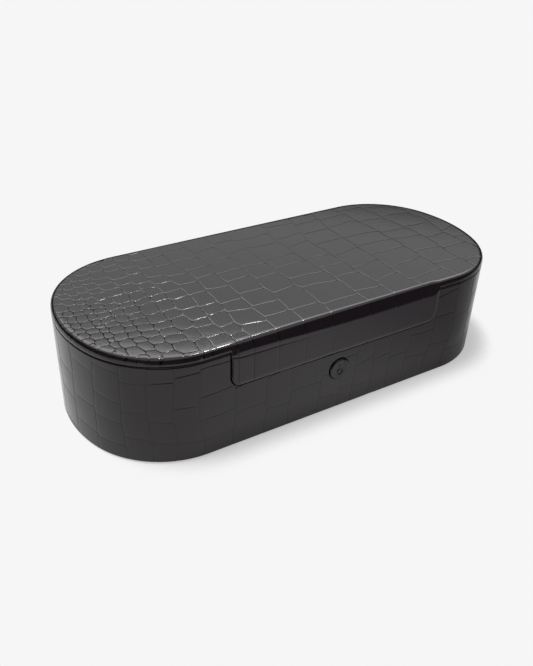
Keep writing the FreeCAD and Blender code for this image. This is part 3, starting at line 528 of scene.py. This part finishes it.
def makeBaseLeather():
    bm = bmesh.new()
    height = tileSheet(bm, wallHide)
    ends = [(Vector((wall["seam"], 0, 0)), Vector((-1, 0, 0))),
            (Vector((wall["seam"] + 2 * halfRound, 0, 0)), Vector((1, 0, 0))),
            (Vector((0, wall["low"], 0)), Vector((0, -1, 0))),
            (Vector((0, wall["high"], 0)), Vector((0, 1, 0)))]
    kept = set(stampFaces(bm, list(bm.faces), ends))
    bmesh.ops.delete(bm, geom=[face for face in bm.faces if face not in kept], context="FACES")
    for level in (wall["low"] + wall["hold"], wall["high"] - wall["hold"]):
        cutFaces(bm, list(bm.faces), Vector((0, level, 0)), Vector((0, 1, 0)))
    # more points where the strip bends round the ends, and where the hinges begin and end
    for face in list(bm.faces):
        runs = [vert.co.x for vert in face.verts]
        parts, at = [face], math.ceil(min(runs) / wall["bend"]) * wall["bend"]
        while at < max(runs) and max(runs) - min(runs) > wall["bendLeast"] * wall["bend"]:
            if isCurved(at):
                parts = cutFaces(bm, parts, Vector((at, 0, 0)), Vector((1, 0, 0)))
            at += wall["bend"]
    for place in (spot for pair in lidEdge["hinge"] for spot in pair):
        for run in (halfRound - place, place - halfRound):
            cutNear(bm, run, 1, *wall["near"])

    # openings: the recess keeps its floor, pushed in, and the others are cut out
    push = bm.verts.layers.float.new("push")
    for opening, gapAt, outlineAt in openings:
        inside = [face for face in bm.faces
                  if min(gapAt(*vert.co.xy) for vert in face.verts) < 2 * opening["edge"]]
        for out in wall["openingCuts"]:
            inside = stampFaces(bm, inside, outlineAt(out * opening["edge"]))
        within = set(inside)
        border = [edge for face in inside for edge in face.edges if len(edge.link_faces) == 2
                  and sum(near in within for near in edge.link_faces) == 1]
        if opening is recess:
            bmesh.ops.split_edges(bm, edges=border)
            floor = {vert for face in inside for vert in face.verts}
            for vert in floor:
                vert[push] = recess["depth"]
            border = [edge for edge in bm.edges if edge.is_boundary and edge.verts[0] not in floor
                      and all(abs(recessGap(*vert.co.xy)) < recess["touch"] for vert in edge.verts)]
        else:
            bmesh.ops.delete(bm, geom=inside, context="FACES")
            border = [edge for edge in border if edge.is_valid]
        verts, _ = growEdge(bm, border)
        for vert in verts:
            vert[push] = opening["depth"]

    flat = bm.verts.layers.float_vector.new("flat")

    def place(vert, inward=0, up=0):
        # from the flat strip to the wall, lower where the hinges lie
        run, level, relief = vert[flat]
        spot, facing = outlinePoint(run)
        depth = vert[push] or rolledDepth(run, level)
        spot -= facing * (height - relief + depth + inward)
        hingeFrom = wall["hingeFrom"]
        if facing.y > wall["rearFacing"] and level > hingeFrom:
            share = (wall["hingeTop"] - hingeFrom) / (wall["high"] - hingeFrom)
            level = hingeFrom + (level - hingeFrom) * (1 - (1 - share) * hingeShare(spot.x))
        vert.co = Vector((spot.x, spot.y, level + up))

    for vert in bm.verts:
        vert[flat] = vert.co
    for vert in bm.verts:
        place(vert)
    loose = [edge for edge in bm.edges if edge.is_boundary]
    top, bottom = wall["high"] - wall["touch"], wall["low"] + wall["touch"]
    rim = [edge for edge in loose if all(vert[flat].y > top for vert in edge.verts)]
    foot = [edge for edge in loose if all(vert[flat].y < bottom for vert in edge.verts)]
    for chain, side, radius, lip in ((rim, 1, wall["rimRound"], wall["lip"]),
                                     (foot, -1, wall["footRound"], wall["footLip"])):
        for angle in wall["turns"]:
            verts, chain = growEdge(bm, chain)
            for vert in verts:
                turned = math.radians(angle or 90)
                inward = radius * (1 - math.cos(turned))
                if angle is None:
                    inward = wall["recessLip"] if vert[push] else lip
                place(vert, inward, side * radius * math.sin(turned))
    return finishMesh(bm, "baseLeather", height, flat)


baseLeather = makeBaseLeather()
print("base leather", len(baseLeather.data.polygons))


# Push button: a dished cap with a pressed ring, and room for the light pipe
button = {"height": 23.7, "radius": 5.45, "face": -51.3, "shoulder": -47, "back": -45.7, "flange": 6.5,
          "round": 0.5, "dish": 0.18, "dishRadius": 4.5, "dishSteps": (0.25, 0.5, 0.75),
          "ringAt": (0, -1.3), "ring": (1.75, 1.1), "press": 0.35, "pipeAt": (0, 2.0), "pipe": 0.7,
          "pipeDepth": 2, "touch": 0.05, "segments": {"rim": 96, "dish": 48, "ring": 36, "pipe": 24}}


def makeButtonCap():
    bm = bmesh.new()
    radius, dishRadius, segments = button["radius"], button["dishRadius"], button["segments"]
    ringAt, (ringOut, ringIn) = button["ringAt"], button["ring"]

    def dishFaces():
        return [face for face in bm.faces if face.calc_center_median().length < dishRadius]

    bmesh.ops.create_circle(bm, cap_ends=True, radius=radius, segments=segments["rim"])
    top = list(bm.faces)
    bmesh.ops.inset_region(bm, faces=top, thickness=radius - dishRadius, depth=0)
    for share in button["dishSteps"]:
        stampFaces(bm, top, circleOutline((0, 0), dishRadius * (1 - share), segments["dish"]))
        top = list(bm.faces)
    pipeHole = circleOutline(button["pipeAt"], button["pipe"], segments["pipe"])
    bmesh.ops.delete(bm, geom=stampFaces(bm, dishFaces(), pipeHole), context="FACES")
    disc = stampFaces(bm, dishFaces(), circleOutline(ringAt, ringOut, segments["ring"]))
    stampFaces(bm, disc, circleOutline(ringAt, ringIn, segments["ring"]))
    for vert in bm.verts:
        away = min(1, vert.co.xy.length / dishRadius)
        vert.co.z -= button["dish"] * (1 - away * away)
    ring = [face for face in bm.faces
            if ringIn < (face.calc_center_median().xy - Vector(ringAt)).length < ringOut]
    made = bmesh.ops.extrude_face_region(bm, geom=ring)["geom"]
    pressed = [part for part in made if isinstance(part, bmesh.types.BMVert)]
    bmesh.ops.translate(bm, vec=(0, 0, -button["press"]), verts=pressed)
    bmesh.ops.delete(bm, geom=[face for face in ring if face.is_valid], context="FACES_ONLY")
    loose = [edge for edge in bm.edges if edge.is_boundary]
    limit = radius - button["touch"]
    rim = [edge for edge in loose if all(vert.co.xy.length > limit for vert in edge.verts)]
    hole = [edge for edge in loose if edge not in set(rim)]
    verts, _ = growEdge(bm, hole)
    bmesh.ops.translate(bm, vec=(0, 0, -button["pipeDepth"]), verts=verts)
    corner = rim
    for reach, level in ((radius, button["shoulder"]), (button["flange"], button["shoulder"]),
                         (button["flange"], button["back"])):
        verts, rim = growEdge(bm, rim)
        for vert in verts:
            vert.co = vert.co.xy.normalized().to_3d() * reach
            vert.co.z = button["face"] - level
    bmesh.ops.contextual_create(bm, geom=rim)
    bmesh.ops.bevel(bm, geom=corner, offset=button["round"], segments=4, profile=0.5,
                    affect="EDGES", material=-1)
    bmesh.ops.rotate(bm, matrix=Matrix.Rotation(math.pi / 2, 3, "X"), verts=bm.verts)
    bmesh.ops.translate(bm, vec=(0, button["face"], button["height"]), verts=bm.verts)
    bmesh.ops.scale(bm, vec=(mm, mm, mm), verts=bm.verts)
    bmesh.ops.recalc_face_normals(bm, faces=bm.faces)
    for face in bm.faces:
        face.smooth = True
    return meshObject(bm, "buttonCap")


buttonCap = makeButtonCap()
print("button", len(buttonCap.data.polygons))


# Materials: each starts from what the real piece is made of
def newMaterial(name, shader):
    material = bpy.data.materials.new(name)
    material.use_nodes = True
    tree = material.node_tree
    tree.nodes.clear()
    body = addNode(tree, "ShaderNodeBsdfPrincipled", shader)
    addNode(tree, "ShaderNodeOutputMaterial", links={"Surface": (body, "BSDF")})
    return material, tree, body


def grainFinish(tree, body, look):
    # colour, roughness and fine bump that vary with two noises, sized in millimetres
    place = addNode(tree, "ShaderNodeTexCoord")
    grain = addNode(tree, "ShaderNodeTexNoise", {"Scale": 1 / (look["grain"] * mm), "Detail": 3.0},
                    {"Vector": (place, "Object")})
    cloud = addNode(tree, "ShaderNodeTexNoise", {"Scale": 1 / (look["cloud"] * mm), "Detail": 2.0},
                    {"Vector": (place, "Object")})
    # a colour mix has its factor and colours at sockets 0, 6 and 7, and its result at 2
    dark, light = (linear(code) for code in look["colours"])
    tint = addNode(tree, "ShaderNodeMix", {"data_type": "RGBA", 6: dark, 7: light},
                   {0: (cloud, "Fac")})
    tree.links.new(tint.outputs[2], body.inputs["Base Color"])
    smooth, dull = look["rough"]
    rough = addNode(tree, "ShaderNodeMapRange", {"To Min": smooth, "To Max": dull},
                    {"Value": (grain, "Fac")})
    tree.links.new(rough.outputs["Result"], body.inputs["Roughness"])
    bump = addNode(tree, "ShaderNodeBump", {"Strength": 1.0, "Distance": look["bump"] * mm},
                   {"Height": (grain, "Fac")})
    tree.links.new(bump.outputs["Normal"], body.inputs["Normal"])
    return place, bump, tint


finishes = {
    # moulded plastic with an eroded tool face: an even, half-dull black
    "mouldedAbs": {"shader": {"IOR": 1.53}, "grain": 0.5, "cloud": 30, "bump": 0.02,
                   "colours": ("#17171a", "#1d1d20"), "rough": (0.38, 0.52)},
    # short fibres that scatter light at the rim: soft, with no shine
    "microfibreLining": {"shader": {"IOR": 1.45, "Sheen Weight": 0.35, "Sheen Roughness": 0.4},
                         "grain": 0.35, "cloud": 9, "bump": 0.06,
                         "colours": ("#121214", "#1c1c1f"), "rough": (0.8, 0.95)},
    # pressed grey fibres: mottled and matt
    "fibreBoard": {"shader": {"IOR": 1.45}, "grain": 0.6, "cloud": 6, "bump": 0.05,
                   "colours": ("#6f6a62", "#86807a"), "rough": (0.75, 0.9)},
    # aluminium vapour on plastic: a mirror that is a little soft
    "metallisedAbs": {"shader": {"Metallic": 1.0}, "grain": 0.9, "cloud": 60, "bump": 0.004,
                      "colours": ("#c9ccd0", "#d6d9dc"), "rough": (0.1, 0.17)},
    # clear melted silica: seen through, with sharp reflections
    "fusedQuartz": {"shader": {"IOR": 1.46, "Transmission Weight": 1.0}, "grain": 2.0, "cloud": 20,
                    "bump": 0.001, "colours": ("#f4f7fa", "#ffffff"), "rough": (0.02, 0.05)},
    # green lacquer over copper and glass cloth: half-gloss, faintly cloudy
    "solderMask": {"shader": {"IOR": 1.52}, "grain": 0.4, "cloud": 12, "bump": 0.012,
                   "colours": ("#0d3b25", "#14492f"), "rough": (0.3, 0.42)},
    # fired alumina: warm white, like an eggshell
    "ledCeramic": {"shader": {"IOR": 1.6}, "grain": 0.3, "cloud": 2, "bump": 0.008,
                   "colours": ("#e9e6dc", "#f4f1e8"), "rough": (0.4, 0.55)},
    # filled resin of chips and switches: a dusty, matt black
    "epoxyBlack": {"shader": {"IOR": 1.5}, "grain": 0.25, "cloud": 4, "bump": 0.012,
                   "colours": ("#121212", "#191919"), "rough": (0.5, 0.65)},
    # plastic from a polished tool: a deeper black with a clear shine
    "glossAbs": {"shader": {"IOR": 1.53}, "grain": 0.7, "cloud": 6, "bump": 0.004,
                 "colours": ("#0e0d0f", "#131214"), "rough": (0.2, 0.28)},
    # tinted clear plastic: dark until it is lit from behind
    "smokedPolycarbonate": {"shader": {"IOR": 1.58, "Transmission Weight": 0.5}, "grain": 0.4,
                            "cloud": 2, "bump": 0.002, "colours": ("#1b191b", "#262427"),
                            "rough": (0.22, 0.3)},
    # soft rubber: charcoal, powdery
    "siliconeRubber": {"shader": {"IOR": 1.41}, "grain": 0.4, "cloud": 5, "bump": 0.03,
                       "colours": ("#232325", "#2c2c2e"), "rough": (0.65, 0.8)},
    # plating on magnets and contacts: bright and slightly yellow
    "nickelPlate": {"shader": {"Metallic": 1.0}, "grain": 0.6, "cloud": 6, "bump": 0.004,
                    "colours": ("#b9b4a8", "#c8c3b7"), "rough": (0.18, 0.28)},
    # rolled steel of hinges and screws: cool grey with a blurred shine
    "brushedSteel": {"shader": {"Metallic": 1.0}, "grain": 0.4, "cloud": 8, "bump": 0.006,
                     "colours": ("#a6a6a8", "#bbbbbd"), "rough": (0.24, 0.36)},
}
slotFinish = {"case_plastic": "mouldedAbs", "lining": "microfibreLining", "fibre_board": "fibreBoard",
              "mirror_plastic": "metallisedAbs", "quartz": "fusedQuartz", "circuit_board": "solderMask",
              "lamp_ceramic": "ledCeramic", "black_plastic": "epoxyBlack", "button_plastic": "glossAbs",
              "clear_plastic": "smokedPolycarbonate", "foot_rubber": "siliconeRubber",
              "nickel": "nickelPlate", "steel": "brushedSteel", "embossed_leather": "patentLeather"}
materials = {}
for name, look in finishes.items():
    materials[name], tree, body = newMaterial(name, look["shader"])
    grainFinish(tree, body, look)

# Patent-finished polyurethane leather: a black hide under a clear, slightly rippled lacquer, so it
# mirrors the room softly; painted shade makes its grooves darker than the tiles
leather = {"shader": {"IOR": 1.5}, "grain": 0.45, "cloud": 14, "colours": ("#1a1519", "#1f191d"),
           "rough": (0.1, 0.18), "bump": 0.009, "ripple": 3.2, "rippleDepth": 0.013,
           "groove": "#080708"}
materials["patentLeather"], tree, body = newMaterial("patentLeather", leather["shader"])
place, fineBump, tint = grainFinish(tree, body, leather)
ripple = addNode(tree, "ShaderNodeTexNoise", {"Scale": 1 / (leather["ripple"] * mm), "Detail": 2.0},
                 {"Vector": (place, "Object")})
rippleBump = addNode(tree, "ShaderNodeBump", {"Strength": 1.0, "Distance": leather["rippleDepth"] * mm},
                     {"Height": (ripple, "Fac"), "Normal": (fineBump, "Normal")})
tree.links.new(rippleBump.outputs["Normal"], body.inputs["Normal"])
# painted shade: the relief tints the groove floors near black and leaves the tile tops their own tone
relief = addNode(tree, "ShaderNodeAttribute", {"attribute_name": "relief"})
paintedGrooveShade = addNode(tree, "ShaderNodeMix", {"data_type": "RGBA", 6: linear(leather["groove"])},
                   {0: (relief, "Fac"), 7: (tint, 2)})
tree.links.new(paintedGrooveShade.outputs[2], body.inputs["Base Color"])

for node in nodes.values():
    slot = node.material_slots[0]
    slot.material = materials[slotFinish[slot.material.name]]
lidLeather.data.materials.append(materials["patentLeather"])
baseLeather.data.materials.append(materials["patentLeather"])
buttonCap.data.materials.append(materials["glossAbs"])
print("materials", len(materials))

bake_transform(lidLeather)
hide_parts("lid_wrap", "flap_leather")
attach(baseLeather, "base")
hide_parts("base_wrap")
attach(buttonCap, "power_button")
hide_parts("button_cap")

# Camera at the photograph's angle
shot = {"at": (-190.36, -277.24, 224.51), "azimuth": -34.47, "elevation": 33.73, "roll": 2.91, "lens": 40.77,
        "shift": (-0.0188, 0.0378)}
azimuth, elevation, roll = (math.radians(shot[key]) for key in ("azimuth", "elevation", "roll"))
back = Vector((math.sin(azimuth) * math.cos(elevation),
               -math.cos(azimuth) * math.cos(elevation), math.sin(elevation)))
right = Vector((math.cos(azimuth), math.sin(azimuth), 0))
turn = Matrix((right, back.cross(right), back)).transposed() @ Matrix.Rotation(roll, 3, "Z")
camera = bpy.data.objects.new("camera", bpy.data.cameras.new("camera"))
bpy.context.scene.collection.objects.link(camera)
camera.matrix_world = Matrix.Translation(Vector(shot["at"]) * mm) @ turn.to_4x4()
camera.data.lens = shot["lens"]
camera.data.shift_x, camera.data.shift_y = shot["shift"]
camera.data.clip_start = 0.01
bpy.context.scene.camera = camera

# Stage: white paper under an even white room. A softbox and a small lamp at the back give the
# reflections, a key light gives soft form, and dark cards are found by reflections alone
stage = {"paper": "#f6f6f6", "black": "#060606", "floorSize": 6.0, "room": 0.9}
shade = {"towards": (-0.8, 0.3, 0.52), "reach": 0.02, "range": (0.46, 0.88), "darkest": 0.55}
floorCard = {"edges": {"X": (0.0, 0.12), "Y": (-0.01, -0.06)}, "beside": 0.35, "level": 0.35}
flags = {"flag": {"size": (0.7, 0.2), "at": (0.15, -0.15, 0.1), "towards": (0.15, 0, 0.1)},
         "sideFlag": {"size": (1.7, 1.0), "at": (-0.6, -0.1, 0.5), "towards": (0, -0.1, 0.5)}}
curtainSize = {"radius": 0.9, "height": 0.38, "segments": 64}
# a panel's watts are its brightness times pi times its area
lights = {"backBox": {"at": (0.45, 0.65, 1.0), "towards": (0, 0, 0.05), "size": (1.6, 0.6),
                      "watts": 2.5 * math.pi * 1.6 * 0.6, "hide": "visible_diffuse"},
          "sparkLamp": {"at": (0.35, 0.3, 1.0), "towards": (0, 0, 0.05), "size": (0.15, 0.15),
                        "watts": 60 * math.pi * 0.15 * 0.15, "hide": "visible_diffuse"},
          "keyLight": {"at": (-0.5, 0.55, 1.1), "towards": (0, 0, 0), "size": (0.5, 0.5),
                       "watts": 1.0, "hide": "visible_glossy"}}
bpy.context.scene.view_settings.view_transform = "Standard"
world = bpy.data.worlds.new("studio")
bpy.context.scene.world = world
world.use_nodes = True
tree = world.node_tree
tree.nodes.clear()
ray = addNode(tree, "ShaderNodeLightPath")
seen = addNode(tree, "ShaderNodeMath", {"operation": "MAXIMUM"},
               {0: (ray, "Is Camera Ray"), 1: (ray, "Is Glossy Ray")})
seenAll = addNode(tree, "ShaderNodeMath", {"operation": "MAXIMUM"},
                  {0: (seen, 0), 1: (ray, "Is Transmission Ray")})
level = addNode(tree, "ShaderNodeMapRange", {"To Min": stage["room"], "To Max": 1.0},
                {"Value": (seenAll, 0)})
sky = addNode(tree, "ShaderNodeBackground", {"Color": linear(stage["paper"])},
              {"Strength": (level, "Result")})
addNode(tree, "ShaderNodeOutputWorld", links={"Surface": (sky, "Background")})

# Matt paper: what is seen of it glows an even white, with a painted shadow where the box stands in the
# light's way
floorMaterial, tree, body = newMaterial("paperSweep", {"Base Color": linear(stage["paper"]),
                                                       "Roughness": 0.9, "Specular IOR Level": 0.0})
towardsLight = addNode(tree, "ShaderNodeCombineXYZ", dict(zip("XYZ", shade["towards"])))
hidden = addNode(tree, "ShaderNodeAmbientOcclusion", {"Distance": shade["reach"], "samples": 16},
                 {"Normal": (towardsLight, "Vector")})
shadeFrom, shadeTo = shade["range"]
shadeLevel = addNode(tree, "ShaderNodeMapRange",
                     {"interpolation_type": "SMOOTHSTEP", "From Min": shadeFrom, "From Max": shadeTo,
                      "To Min": shade["darkest"]}, {"Value": (hidden, "AO")})
# reflections on the right find a dark card lying on it
floorRay = addNode(tree, "ShaderNodeLightPath")
floorPlace = addNode(tree, "ShaderNodeTexCoord")
floorAxes = addNode(tree, "ShaderNodeSeparateXYZ", links={0: (floorPlace, "Object")})
cardX, cardY = [addNode(tree, "ShaderNodeMapRange",
                        {"interpolation_type": "SMOOTHSTEP", "From Min": start, "From Max": end,
                         "To Min": floorCard["beside"]}, {"Value": (floorAxes, axis)})
                for axis, (start, end) in floorCard["edges"].items()]
card = addNode(tree, "ShaderNodeMath", {"operation": "MULTIPLY"},
               {0: (cardX, "Result"), 1: (cardY, "Result")})
cardSeen = addNode(tree, "ShaderNodeMath", {"operation": "MULTIPLY"},
                   {0: (card, 0), 1: (floorRay, "Is Glossy Ray")})
cardLevel = addNode(tree, "ShaderNodeMapRange", {"To Min": 1.0, "To Max": floorCard["level"]},
                    {"Value": (cardSeen, 0)})
paperLevel = addNode(tree, "ShaderNodeMath", {"operation": "MULTIPLY"},
                     {0: (shadeLevel, "Result"), 1: (cardLevel, "Result")})
paper = addNode(tree, "ShaderNodeEmission", {"Color": linear(stage["paper"])},
                {"Strength": (paperLevel, 0)})
floorSeen = addNode(tree, "ShaderNodeMath", {"operation": "MAXIMUM"},
                    {0: (floorRay, "Is Camera Ray"), 1: (floorRay, "Is Glossy Ray")})
floorSeenAll = addNode(tree, "ShaderNodeMath", {"operation": "MAXIMUM"},
                       {0: (floorSeen, 0), 1: (floorRay, "Is Transmission Ray")})
floorMix = addNode(tree, "ShaderNodeMixShader",
                   links={0: (floorSeenAll, 0), 1: (body, "BSDF"), 2: (paper, "Emission")})
tree.links.new(floorMix.outputs[0], tree.nodes["Material Output"].inputs["Surface"])


def stageCard(name, width, height, at, towards, material):
    bm = bmesh.new()
    bmesh.ops.create_grid(bm, x_segments=1, y_segments=1, size=0.5)
    bmesh.ops.scale(bm, vec=(width, height, 1), verts=bm.verts)
    aim = Matrix.Identity(3)
    if towards:
        aim = (Vector(towards) - Vector(at)).to_track_quat("Z", "Y").to_matrix()
    bmesh.ops.transform(bm, matrix=Matrix.Translation(at) @ aim.to_4x4(), verts=bm.verts)
    card = meshObject(bm, name)
    card.data.materials.append(material)
    return card


stageCard("floor", stage["floorSize"], stage["floorSize"], (0, 0, 0), None, floorMaterial)
# Black flocked card: takes the light and gives back nothing
darkMaterial, _, _ = newMaterial("blackFlag", {"Base Color": linear(stage["black"]),
                                               "Roughness": 1.0, "Specular IOR Level": 0.0})
darkCards = [stageCard(name, *look["size"], look["at"], look["towards"], darkMaterial)
             for name, look in flags.items()]
bm = bmesh.new()
bmesh.ops.create_cone(bm, cap_ends=False, segments=curtainSize["segments"],
                      radius1=curtainSize["radius"], radius2=curtainSize["radius"],
                      depth=curtainSize["height"],
                      matrix=Matrix.Translation((0, 0, curtainSize["height"] / 2)))
curtain = meshObject(bm, "curtain")
curtain.data.materials.append(darkMaterial)
for card in (*darkCards, curtain):
    for name in ("visible_camera", "visible_diffuse", "visible_shadow", "visible_transmission"):
        setattr(card, name, False)

for name, look in lights.items():
    lamp = bpy.data.objects.new(name, bpy.data.lights.new(name, "AREA"))
    lamp.data.shape = "RECTANGLE"
    lamp.data.size, lamp.data.size_y = look["size"]
    lamp.data.energy = look["watts"]
    aim = (Vector(look["at"]) - Vector(look["towards"])).to_track_quat("Z", "Y").to_matrix()
    lamp.matrix_world = Matrix.Translation(look["at"]) @ aim.to_4x4()
    bpy.context.scene.collection.objects.link(lamp)
    setattr(lamp, look["hide"], False)
print("stage")
